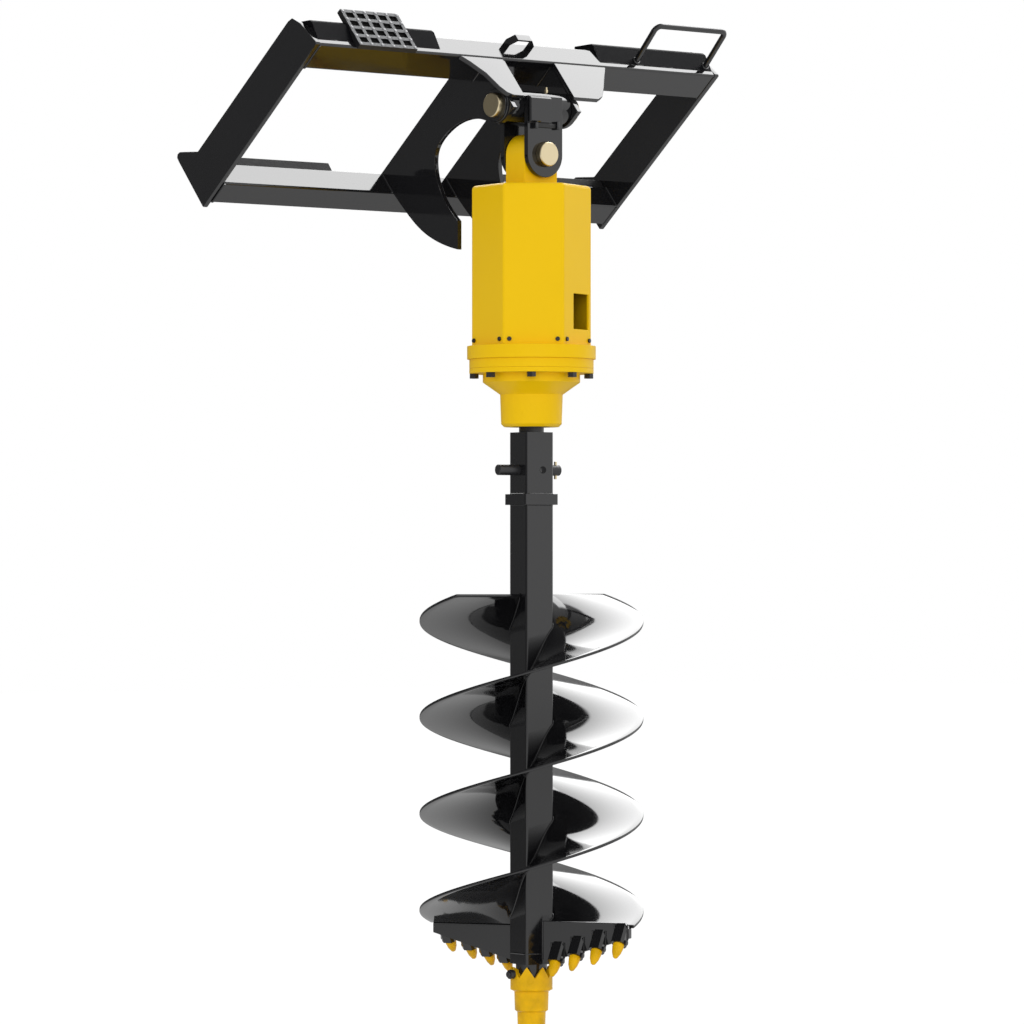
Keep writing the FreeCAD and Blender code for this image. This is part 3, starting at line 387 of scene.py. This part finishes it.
# Flights: a flat grid wound into a helicoid whose inner edge follows the square tube
def make_flight_tree():
    tree, given, result = group("flight_blade", "GeometryNodeTree", {
        "Geometry": "NodeSocketGeometry", "Outer radius": 0.2286, "Half tube": 0.033, "First angle": 0.0,
        "Turn": 10.7, "Foot": -1.57, "Height": 0.67, "Thickness": 0.006, "Steps along": 320,
        "Steps across": 14, "Material": "NodeSocketMaterial"}, {"Geometry": "NodeSocketGeometry"})
    counts = {"Vertices X": given["Steps along"], "Vertices Y": given["Steps across"]}
    grid = add(tree, "GeometryNodeMeshGrid", {"Size X": 1.0, "Size Y": 1.0, **counts}).outputs["Mesh"]
    place = add(tree, "GeometryNodeInputPosition").outputs[0]
    split = add(tree, "ShaderNodeSeparateXYZ", {0: place}).outputs
    along = maths(tree, "ADD", split["X"], 0.5)
    across = maths(tree, "ADD", split["Y"], 0.5)
    angle = maths(tree, "ADD", given["First angle"], maths(tree, "MULTIPLY", along, given["Turn"]))
    cosine = maths(tree, "COSINE", angle)
    sine = maths(tree, "SINE", angle)
    widest = maths(tree, "MAXIMUM", maths(tree, "ABSOLUTE", cosine), maths(tree, "ABSOLUTE", sine))
    inner = maths(tree, "DIVIDE", given["Half tube"], widest)
    reach = maths(tree, "SUBTRACT", given["Outer radius"], inner)
    radius = maths(tree, "ADD", inner, maths(tree, "MULTIPLY", reach, across))
    height = maths(tree, "ADD", given["Foot"], maths(tree, "MULTIPLY", along, given["Height"]))
    x = maths(tree, "MULTIPLY", radius, cosine)
    y = maths(tree, "MULTIPLY", radius, sine)
    target = add(tree, "ShaderNodeCombineXYZ", {0: x, 1: y, 2: height}).outputs[0]
    wound = add(tree, "GeometryNodeSetPosition", {"Geometry": grid, "Position": target}).outputs[0]
    up = add(tree, "ShaderNodeCombineXYZ", {2: given["Thickness"]}).outputs[0]
    top = add(tree, "GeometryNodeExtrudeMesh", {"Mesh": wound, "Offset": up, "Individual": False}).outputs[0]
    under = add(tree, "GeometryNodeFlipFaces", {0: wound}).outputs[0]
    joined = add(tree, "GeometryNodeJoinGeometry")
    tree.links.new(top, joined.inputs[0])
    tree.links.new(under, joined.inputs[0])
    welded = add(tree, "GeometryNodeMergeByDistance", {"Geometry": joined.outputs[0], "Distance": 0.00001})
    real = add(tree, "GeometryNodeRealizeInstances", {0: welded.outputs[0]}).outputs[0]
    made = add(tree, "GeometryNodeSetMaterial", {"Geometry": real, "Material": given["Material"]}).outputs[0]
    tree.links.new(made, result["Geometry"])
    return tree


def run_tree(name, tree, mesh, inputs):
    """A piece with a geometry tree on it, whose inputs are set by the sockets' identifiers."""
    piece = new_object(name, mesh)
    modifier = piece.modifiers.new("tree", "NODES")
    modifier.node_group = tree
    for item in tree.interface.items_tree:
        if item.in_out == "INPUT" and item.name in inputs:
            modifier[item.identifier] = inputs[item.name]
    return piece


def hung(obj):
    """Turns a piece drawn square to the tube, and hangs it from the lower pin."""
    obj.data.transform(PIN_PLACE @ Matrix.Rotation(TUBE_TURN, 4, "Z"))
    return obj


FLIGHT_TREE = make_flight_tree()
FLIGHT_TURN = math.tau * (FLIGHT_TOP - FLIGHT_FOOT) / FLIGHT_PITCH
for letter, end in FLIGHT_ENDS.items():
    blade = run_tree("flight_%s_blade" % letter, FLIGHT_TREE, bpy.data.meshes.new("flight"), {
        "Outer radius": FLIGHT_R, "Half tube": TUBE_SIDE / 2, "First angle": end - TUBE_TURN,
        "Turn": FLIGHT_TURN, "Foot": FLIGHT_FOOT, "Height": FLIGHT_TOP - FLIGHT_FOOT,
        "Thickness": FLIGHT_THICK, "Material": FINISHES["black_paint"]})
    rim = blade.modifiers.new("rim", "BEVEL")
    rim.width = 1.2 * MM
    rim.segments = 2
    rim.limit_method = "ANGLE"
    rim.angle_limit = math.radians(50)
    settle(blade)
    smooth_by_angle(blade.data, 45)
    hung(blade)
    attach(blade, "auger")
    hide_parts("flight_" + letter)


# Boxes of small fittings, with broken edges
def small_blocks(name, body, finish, corners, width, place):
    """Boxes between pairs of corners, millimetres, put in place by a matrix."""
    shape = bmesh.new()
    for low, high in corners:
        middle = (Vector(low) + Vector(high)) / 2 * MM
        sides = (Vector(high) - Vector(low)) * MM
        box = place @ Matrix.Translation(middle) @ Matrix.Diagonal((*sides, 1))
        bmesh.ops.create_cube(shape, size=1.0, matrix=box)
    bmesh.ops.bevel(shape, geom=shape.edges[:], offset=width, segments=2, affect="EDGES", profile=0.5)
    mesh = bpy.data.meshes.new(name)
    shape.to_mesh(mesh)
    shape.free()
    blocks = new_object(name, mesh)
    smooth_by_angle(blocks.data, 34)
    attach(blocks, body, FINISHES[finish])


# A black rubber pad between two lugs, under the knuckle's stop block: painted shade, standing for the shadow
# under the block
SHADOW_PAD_CORNERS = [((-26, -48.5, 54), (24, -42.5, 63))]
LUG_CORNERS = [((-34, -52.5, 51), (-26.5, -42.5, 63.5)), ((24.5, -52.5, 51), (32, -42.5, 68))]
small_blocks("shadow_pad", "knuckle", "rubber", SHADOW_PAD_CORNERS, 0.8 * MM, PIN_PLACE)
small_blocks("shadow_pad_lugs", "knuckle", "black_paint", LUG_CORNERS, 1.4 * MM, PIN_PLACE)

# The step: a dark sheet under its holes, which paints the shade in them, and a stud on each crossing of its
# ribs.
# Its sizes are in the upright frame's millimetres
STEP_LEFT = -442
STEP_RIGHT = -292
STEP_FRONT = -5
STEP_BACK = 95
STEP_TOP = 482
STEP_RIB = 9
STEP_INSET = 2.5
# Heights of the dark sheet that paints the shade in the step's holes
STEP_SHADE_HEIGHTS = (478.2, 478.9)
SHADE_SHEET_CORNERS = [((STEP_LEFT + STEP_INSET, STEP_FRONT + STEP_INSET, STEP_SHADE_HEIGHTS[0]),
                  (STEP_RIGHT - STEP_INSET, STEP_BACK - STEP_INSET, STEP_SHADE_HEIGHTS[1]))]
small_blocks("step_hole_shade", "frame", "painted_shade_black", SHADE_SHEET_CORNERS, 0.15 * MM, FRAME_PLACE)


def make_stud_tree():
    tree, given, result = group("tread_studs", "GeometryNodeTree", {
        "Geometry": "NodeSocketGeometry", "Width": 0.141, "Depth": 0.091, "Columns": 6, "Rows": 5,
        "Radius": 0.004, "Flatness": 0.4, "Material": "NodeSocketMaterial"},
        {"Geometry": "NodeSocketGeometry"})
    sides = {"Size X": given["Width"], "Size Y": given["Depth"]}
    counts = {"Vertices X": given["Columns"], "Vertices Y": given["Rows"]}
    grid = add(tree, "GeometryNodeMeshGrid", {**sides, **counts})
    dome = add(tree, "GeometryNodeMeshUVSphere", {"Segments": 16, "Rings": 10, "Radius": given["Radius"]})
    squat = add(tree, "ShaderNodeCombineXYZ", {0: 1.0, 1: 1.0, 2: given["Flatness"]}).outputs[0]
    studs = add(tree, "GeometryNodeInstanceOnPoints", {"Points": grid.outputs["Mesh"], "Scale": squat,
                                                       "Instance": dome.outputs["Mesh"]}).outputs[0]
    real = add(tree, "GeometryNodeRealizeInstances", {0: studs}).outputs[0]
    made = add(tree, "GeometryNodeSetMaterial", {"Geometry": real, "Material": given["Material"]}).outputs[0]
    tree.links.new(made, result["Geometry"])
    return tree


# Studs on the step's ribs, their light grey a painted highlight
studs = run_tree("step_studs", make_stud_tree(), bpy.data.meshes.new("step_studs"), {
    "Width": (STEP_RIGHT - STEP_LEFT - STEP_RIB) * MM, "Depth": (STEP_BACK - STEP_FRONT - STEP_RIB) * MM,
    "Material": FINISHES["painted_highlight"]})
settle(studs)
studs.data.shade_smooth()
step_middle = Vector(((STEP_LEFT + STEP_RIGHT) / 2, (STEP_FRONT + STEP_BACK) / 2, STEP_TOP)) * MM
studs.data.transform(FRAME_PLACE @ Matrix.Translation(step_middle))
attach(studs, "frame")


# Welds: beads along paths, one piece for each body
def make_weld_tree():
    tree, given, result = group("weld_beads", "GeometryNodeTree", {
        "Geometry": "NodeSocketGeometry", "Radius": 0.003, "Step": 0.0018, "Ripple": 0.00035,
        "Ripple length": 0.0042, "Material": "NodeSocketMaterial"}, {"Geometry": "NodeSocketGeometry"})
    line = add(tree, "GeometryNodeMeshToCurve", {0: given["Geometry"]}).outputs[0]
    even = add(tree, "GeometryNodeResampleCurve", {"Curve": line, "Length": given["Step"]}, mode="LENGTH")
    way = add(tree, "GeometryNodeSplineParameter").outputs["Length"]
    kept = add(tree, "GeometryNodeStoreNamedAttribute",
               {"Geometry": even.outputs[0], "Name": "way", "Value": way})
    ring = add(tree, "GeometryNodeCurvePrimitiveCircle",
               {"Resolution": 8, "Radius": given["Radius"]}).outputs[0]
    bead = add(tree, "GeometryNodeCurveToMesh", {"Curve": kept.outputs[0], "Profile Curve": ring,
                                                 "Fill Caps": True}).outputs[0]
    length = add(tree, "GeometryNodeInputNamedAttribute", {"Name": "way"},
                 data_type="FLOAT").outputs["Attribute"]
    turns = maths(tree, "DIVIDE", maths(tree, "MULTIPLY", length, math.tau), given["Ripple length"])
    wave = maths(tree, "SINE", turns)
    place = add(tree, "GeometryNodeInputPosition").outputs[0]
    rough = add(tree, "ShaderNodeTexNoise", {"Vector": place, "Scale": 260.0, "Detail": 1.0}).outputs["Fac"]
    uneven = maths(tree, "SUBTRACT", rough, 0.5)
    swell = maths(tree, "MULTIPLY", maths(tree, "ADD", wave, uneven), given["Ripple"])
    normal = add(tree, "GeometryNodeInputNormal").outputs[0]
    push = add(tree, "ShaderNodeVectorMath", {0: normal, "Scale": swell}, operation="SCALE").outputs[0]
    moved = add(tree, "GeometryNodeSetPosition", {"Geometry": bead, "Offset": push}).outputs[0]
    real = add(tree, "GeometryNodeRealizeInstances", {0: moved}).outputs[0]
    made = add(tree, "GeometryNodeSetMaterial", {"Geometry": real, "Material": given["Material"]}).outputs[0]
    tree.links.new(made, result["Geometry"])
    return tree


WELD_TREE = make_weld_tree()


def weld_beads(name, body, slot, paths, radius):
    """Beads along the paths, each a list of points in metres."""
    points = [p for path in paths for p in path]
    edges = []
    start = 0
    for path in paths:
        edges += [(start + k, start + k + 1) for k in range(len(path) - 1)]
        start += len(path)
    mesh = bpy.data.meshes.new(name)
    mesh.from_pydata(points, edges, [])
    beads = run_tree(name, WELD_TREE, mesh, {"Radius": radius, "Material": FINISHES[slot]})
    settle(beads)
    beads.data.shade_smooth()
    attach(beads, body)


def leaned(x, depth, up):
    """A point of the upright frame, millimetres, leaned into place."""
    return FRAME_PLACE @ (Vector((x, depth, up)) * MM)


def from_pin(x, y, z, turn=0.0):
    """A point of the drive or auger, millimetres below the lower pin, turned about the auger's axis."""
    flat = Vector((x * MM, y * MM, z * MM))
    return Matrix.Rotation(turn, 3, "Z") @ flat + Vector((0, PIN_Y, PIN_Z))


def ring_path(place, radius, count=32):
    """A closed ring: place(a, b) gives the point for two offsets in the ring's plane."""
    turns = [math.tau * k / count for k in range(count + 1)]
    return [place(radius * math.cos(a), radius * math.sin(a)) for a in turns]


# Seams of the frame, in the upright frame's millimetres
FRAME_BEAD = 2.4 * MM
SIDE_INNER = 532
# Lower end, upper end and depth of the seams at each bar's ends
UPPER_BAR = (401, 466, 50)
LOWER_BAR = (10, 64, 58)
LOWER_BAR_TOP = 66
CRADLE_FACES = (81, 92)
CRADLE_OUTER = 94
GUSSET_UP = 459
GUSSET_ENDS = {-1: 152, 1: 206}
PIN_DEPTH = -90.56
PIN_UP = 425.29
BOSS_X = 92.5
BOSS_SEAM_R = 33.6
HANDLE_FEET = (323, 518)
HANDLE_DEPTH = 25
HANDLE_FOOT_UP = 472.6
HANDLE_SLOPE = 0.19
HANDLE_SEAM_R = 6.8


def frame_seams(side):
    """The seams on one side of the frame, -1 for left and 1 for right."""
    seams = []
    inner = side * SIDE_INNER
    for low, high, depth in (UPPER_BAR, LOWER_BAR):
        seams.append([leaned(inner, 0.5, low), leaned(inner, 0.5, high)])
        seams.append([leaned(inner, depth, low), leaned(inner, depth, high)])
        seams.append([leaned(inner, 2, low - 1), leaned(inner, depth - 2, low - 1)])
    seams.append([leaned(inner, 3, LOWER_BAR_TOP), leaned(inner, 55, LOWER_BAR_TOP)])
    for face in CRADLE_FACES:
        x = side * face
        seams.append([leaned(x, 2, LOWER_BAR_TOP), leaned(x, 56, LOWER_BAR_TOP)])
        seams.append([leaned(x, 2, UPPER_BAR[0] - 1), leaned(x, 48, UPPER_BAR[0] - 1)])
        seams.append([leaned(x, 0, UPPER_BAR[0] + 1), leaned(x, 0, GUSSET_UP - 1)])
    outer = side * CRADLE_OUTER
    seams.append([leaned(outer, -2, GUSSET_UP + 0.5), leaned(outer, -92, GUSSET_UP + 0.5)])
    seams.append([leaned(outer, -0.5, GUSSET_UP), leaned(side * GUSSET_ENDS[side], -0.5, GUSSET_UP)])
    seams.append(ring_path(lambda a, b: leaned(side * BOSS_X, PIN_DEPTH + a, PIN_UP + b), BOSS_SEAM_R))
    return seams


def handle_seam(x):
    """The ring round one foot of the grab handle, which leans back."""
    return ring_path(lambda a, b: leaned(x + a, HANDLE_DEPTH + b, HANDLE_FOOT_UP + HANDLE_SLOPE * b),
                     HANDLE_SEAM_R, 20)


weld_beads("frame_welds", "frame", "black_paint",
           frame_seams(-1) + frame_seams(1) + [handle_seam(x) for x in HANDLE_FEET], FRAME_BEAD)

# Seams of the knuckle and of the drive's ear, millimetres from the lower pin
CLEVIS_INNER = 31
CLEVIS_FRONT = -43.4
KNUCKLE_SEAM_UP = 115
STOP_CORNERS = ((-46, 64), (12, 64), (12, 116), (-46, 116))
EAR_FOOT = -61.6
EAR_CORNERS = ((-44, -29.5), (44, -29.5), (44, 29.5), (-44, 29.5), (-44, -29.5))
knuckle_seams = [[from_pin(-45, y, KNUCKLE_SEAM_UP), from_pin(45, y, KNUCKLE_SEAM_UP)]
                 for y in (-CLEVIS_INNER, CLEVIS_INNER)]
knuckle_seams.append([from_pin(x, CLEVIS_FRONT, z) for x, z in STOP_CORNERS])
weld_beads("knuckle_welds", "knuckle", "black_paint", knuckle_seams, FRAME_BEAD)
ear_seam = [from_pin(x, y, EAR_FOOT) for x, y in EAR_CORNERS]
weld_beads("ear_weld", "drive", "yellow_paint", [ear_seam], 3.2 * MM)


# Seams of the auger: along both faces of each flight, round the collar and the pilot socket.
# All are in millimetres from the lower pin
TUBE_CORNER = 44.8
COLLAR_ENDS = (-692, -714)
SOCKET_SEAM = -1628
# A tooth bar: the tops of its two upright seams, their foot, and the seam under the flight's foot
BAR_UPRIGHTS = ((31.5, -14.4, -1562), (40.5, 0.6, -1577))
BAR_TOP = -1563
BAR_FOOT = -1640
FLIGHT_END_SEAM = ((46, 0.8, -1573), (222, 0.8, -1573))
# A tooth and its holder: the seams on both sides of the holder start and end above the tip
TOOTH_TIP = -1672
TOOTH_RISE = 0.29
HOLDER_HALF = 14.2
HOLDER_BACK = -14.5
HOLDER_SEAM = (36, 68)


def flight_seam(end, lift):
    """The path of a bead along one face of a flight, where it meets the tube."""
    path = []
    steps = 180
    for k in range(steps + 1):
        share = k / steps
        angle = end - TUBE_TURN + FLIGHT_TURN * share
        reach = TUBE_SIDE / 2 / MM / max(abs(math.cos(angle)), abs(math.sin(angle)))
        reach = min(reach, TUBE_CORNER)
        z = (FLIGHT_FOOT + (FLIGHT_TOP - FLIGHT_FOOT) * share) / MM + lift
        path.append(from_pin(reach * math.cos(angle), reach * math.sin(angle), z, TUBE_TURN))
    return path


def square_seam(side, z):
    """A closed path round the square tube, with its corners cut off."""
    half = side / 2
    corner = 6.0
    ring = []
    for quarter in range(4):
        turn = TUBE_TURN + quarter * math.pi / 2
        for x, y in ((half, corner - half), (half, half - corner), (half - corner, half)):
            ring.append(from_pin(x, y, z, turn))
    return ring + ring[:1]


auger_seams = [flight_seam(end, lift) for end in FLIGHT_ENDS.values() for lift in (-0.5, 6.5)]
auger_seams += [square_seam(TUBE_SIDE / MM, z) for z in (*COLLAR_ENDS, SOCKET_SEAM)]
for letter, end in FLIGHT_ENDS.items():
    for x, y, top in BAR_UPRIGHTS:
        auger_seams.append([from_pin(x, y, top, end), from_pin(x, y, BAR_FOOT, end)])
    auger_seams.append([from_pin(*corner, end) for corner in FLIGHT_END_SEAM])
    for middle in TOOTH_ROWS[letter]:
        tip = TOOTH_TIP + TOOTH_RISE * (middle - TOOTH_ROWS["b"][0])
        low = tip + HOLDER_SEAM[0]
        high = min(tip + HOLDER_SEAM[1], BAR_TOP)
        for x in (middle - HOLDER_HALF, middle + HOLDER_HALF):
            auger_seams.append([from_pin(x, HOLDER_BACK, low, end), from_pin(x, HOLDER_BACK, high, end)])
weld_beads("auger_welds", "auger", "black_paint", auger_seams, 1.8 * MM)


# A socket screw beside the cross pin, in the hub's front face
HUB_SCREW_PLACE = Vector((7, -33.4, -643)) * MM
HUB_SCREW_R = 7.5 * MM
HUB_SCREW_RIM = 1.2 * MM


def hub_screw():
    shape = bmesh.new()
    place = Matrix.Translation(HUB_SCREW_PLACE) @ Matrix.Rotation(math.pi / 2, 4, "X")
    bmesh.ops.create_cone(shape, cap_ends=True, segments=32, radius1=HUB_SCREW_R,
                          radius2=HUB_SCREW_R - 0.5 * MM, depth=1.6 * MM, matrix=place)
    front = min(shape.faces, key=lambda f: f.calc_center_median().y)
    bmesh.ops.inset_region(shape, faces=[front], thickness=HUB_SCREW_RIM, depth=-1.0 * MM)
    mesh = bpy.data.meshes.new("hub_set_screw")
    shape.to_mesh(mesh)
    shape.free()
    screw = hung(new_object("hub_set_screw", mesh))
    smooth_by_angle(screw.data, 40)
    attach(screw, "auger", FINISHES["matt_black"])


hub_screw()


# Camera at the photo's place
CAMERA_PLACE = (-7.3547, -8.9213, -0.8633)
CAMERA_WAY = (0.6521, 0.7581)
CAMERA_PITCH = math.radians(0.708)
CAMERA_LENS = 193.36


def make_camera():
    data = bpy.data.cameras.new("camera")
    data.lens = CAMERA_LENS
    data.sensor_width = 36.0
    data.clip_end = 100.0
    camera = new_object("camera", data)
    camera.location = CAMERA_PLACE
    flat = math.cos(CAMERA_PITCH)
    looking = Vector((CAMERA_WAY[0] * flat, CAMERA_WAY[1] * flat, math.sin(CAMERA_PITCH)))
    camera.rotation_euler = looking.to_track_quat("-Z", "Y").to_euler()
    bpy.context.scene.camera = camera


# Light: a pale room, a soft front light, a high key from the right and a bright band behind.
# The lamps light the paint, and the room's panes are what the gloss shows
LIGHT_AIM = Vector((0, PIN_Y, -0.6))
# Of each pane: its direction and half width as angles, its heights as sines, its radiance
KEY_PANE = (math.radians(-9), math.radians(15), 0.52, 0.93, 6.5)
BAND_PANE = (math.radians(49), math.radians(48), 0.36, 0.86, 4.2)
PANE_EDGE = 0.03


def softbox(name, towards, distance, size, radiance):
    """A rectangular lamp that faces the part and doesn't show in its gloss."""
    data = bpy.data.lights.new(name, "AREA")
    data.shape = "RECTANGLE"
    data.size, data.size_y = size
    data.energy = radiance * math.pi * size[0] * size[1]
    lamp = new_object(name, data)
    way = Vector(towards).normalized()
    lamp.location = LIGHT_AIM + way * distance
    lamp.rotation_euler = way.to_track_quat("Z", "Y").to_euler()
    lamp.visible_glossy = False


def window(tree, way, towards, half_width, low, high, radiance):
    """A bright pane of the room for reflections, between two heights (as sines) about a direction."""
    parts = add(tree, "ShaderNodeSeparateXYZ", {0: way}).outputs
    flat = add(tree, "ShaderNodeCombineXYZ", {0: parts["X"], 1: parts["Y"]}).outputs[0]
    level = add(tree, "ShaderNodeVectorMath", {0: flat}, operation="NORMALIZE").outputs[0]
    side = add(tree, "ShaderNodeVectorMath", {0: level, 1: (math.cos(towards), math.sin(towards), 0)},
               operation="DOT_PRODUCT").outputs["Value"]
    across = remap(tree, side, math.cos(half_width), math.cos(half_width * 0.9))
    over = remap(tree, parts["Z"], low, low + PANE_EDGE)
    under = remap(tree, parts["Z"], high, high - PANE_EDGE)
    shape = maths(tree, "MULTIPLY", maths(tree, "MULTIPLY", over, under), across)
    return maths(tree, "MULTIPLY", shape, radiance)


def make_room():
    world = bpy.data.worlds.new("studio")
    bpy.context.scene.world = world
    world.use_nodes = True
    tree = world.node_tree
    tree.nodes.clear()
    way = add(tree, "ShaderNodeTexCoord").outputs["Generated"]
    bright_side = add(tree, "ShaderNodeVectorMath", {0: way, 1: (0.62, -0.75, 0.0)},
                      operation="DOT_PRODUCT").outputs["Value"]
    shade = remap(tree, bright_side, -0.15, 0.65, 0.18, 1.2)
    key = window(tree, way, *KEY_PANE)
    band = window(tree, way, *BAND_PANE)
    panes = maths(tree, "MAXIMUM", key, band)
    strength = maths(tree, "ADD", shade, panes)
    glossy = add(tree, "ShaderNodeBackground", {"Color": (1, 1, 1, 1), "Strength": strength}).outputs[0]
    plain = add(tree, "ShaderNodeBackground", {"Color": (1, 1, 1, 1), "Strength": 1.0}).outputs[0]
    ambient = add(tree, "ShaderNodeBackground", {"Color": (1, 1, 1, 1), "Strength": 0.70}).outputs[0]
    path = add(tree, "ShaderNodeLightPath").outputs
    mirror = add(tree, "ShaderNodeMixShader", {0: path["Is Glossy Ray"], 1: ambient, 2: glossy}).outputs[0]
    direct = maths(tree, "MAXIMUM", path["Is Camera Ray"], path["Is Transmission Ray"])
    seen = add(tree, "ShaderNodeMixShader", {0: direct, 1: mirror, 2: plain}).outputs[0]
    add(tree, "ShaderNodeOutputWorld", {0: seen})


FLOOR_HALF = 30.0
FLOOR_DROP = 0.004
FLOOR_GLOW = 1.12
FLOOR_GLOW_SHARE = 0.86


def make_floor():
    """White to the eye and to the gloss, darker far behind the part, and clear from below."""
    mesh = bpy.data.meshes.new("floor")
    height = cad_box[0].z - FLOOR_DROP
    corners = [(x * FLOOR_HALF, y * FLOOR_HALF, height) for x, y in ((-1, -1), (1, -1), (1, 1), (-1, 1))]
    mesh.from_pydata(corners, [], [(0, 1, 2, 3)])
    floor = new_object("floor", mesh)
    material = bpy.data.materials.new("floor")
    material.use_nodes = True
    tree = material.node_tree
    tree.nodes.clear()
    pale = add(tree, "ShaderNodeBsdfDiffuse", {"Color": (0.8, 0.8, 0.8, 1)}).outputs[0]
    path = add(tree, "ShaderNodeLightPath").outputs
    direct = maths(tree, "MAXIMUM", path["Is Camera Ray"], path["Is Transmission Ray"])
    place = add(tree, "ShaderNodeTexCoord").outputs["Object"]
    behind = remap(tree, add(tree, "ShaderNodeSeparateXYZ", {0: place}).outputs["Y"], -1.0, 2.5, 1.05, 0.08)
    strength = maths(tree, "MAXIMUM", maths(tree, "MULTIPLY", direct, FLOOR_GLOW), behind)
    white = add(tree, "ShaderNodeEmission", {"Color": (1, 1, 1, 1), "Strength": strength}).outputs[0]
    lit = maths(tree, "MAXIMUM", direct, path["Is Glossy Ray"])
    share = maths(tree, "MULTIPLY", lit, FLOOR_GLOW_SHARE)
    mixed = add(tree, "ShaderNodeMixShader", {0: share, 1: pale, 2: white}).outputs[0]
    from_below = add(tree, "ShaderNodeNewGeometry").outputs["Backfacing"]
    clear = add(tree, "ShaderNodeBsdfTransparent").outputs[0]
    one_sided = add(tree, "ShaderNodeMixShader", {0: from_below, 1: mixed, 2: clear}).outputs[0]
    add(tree, "ShaderNodeOutputMaterial", {0: one_sided})
    mesh.materials.append(material)


make_camera()
make_room()
make_floor()
softbox("key", (0.652, -0.132, 0.747), 7.0, (3.2, 3.2), 1.6)
softbox("front", (-0.62, -0.74, 0.25), 8.0, (5.0, 4.0), 2.3)

bpy.context.scene.view_settings.view_transform = "Standard"
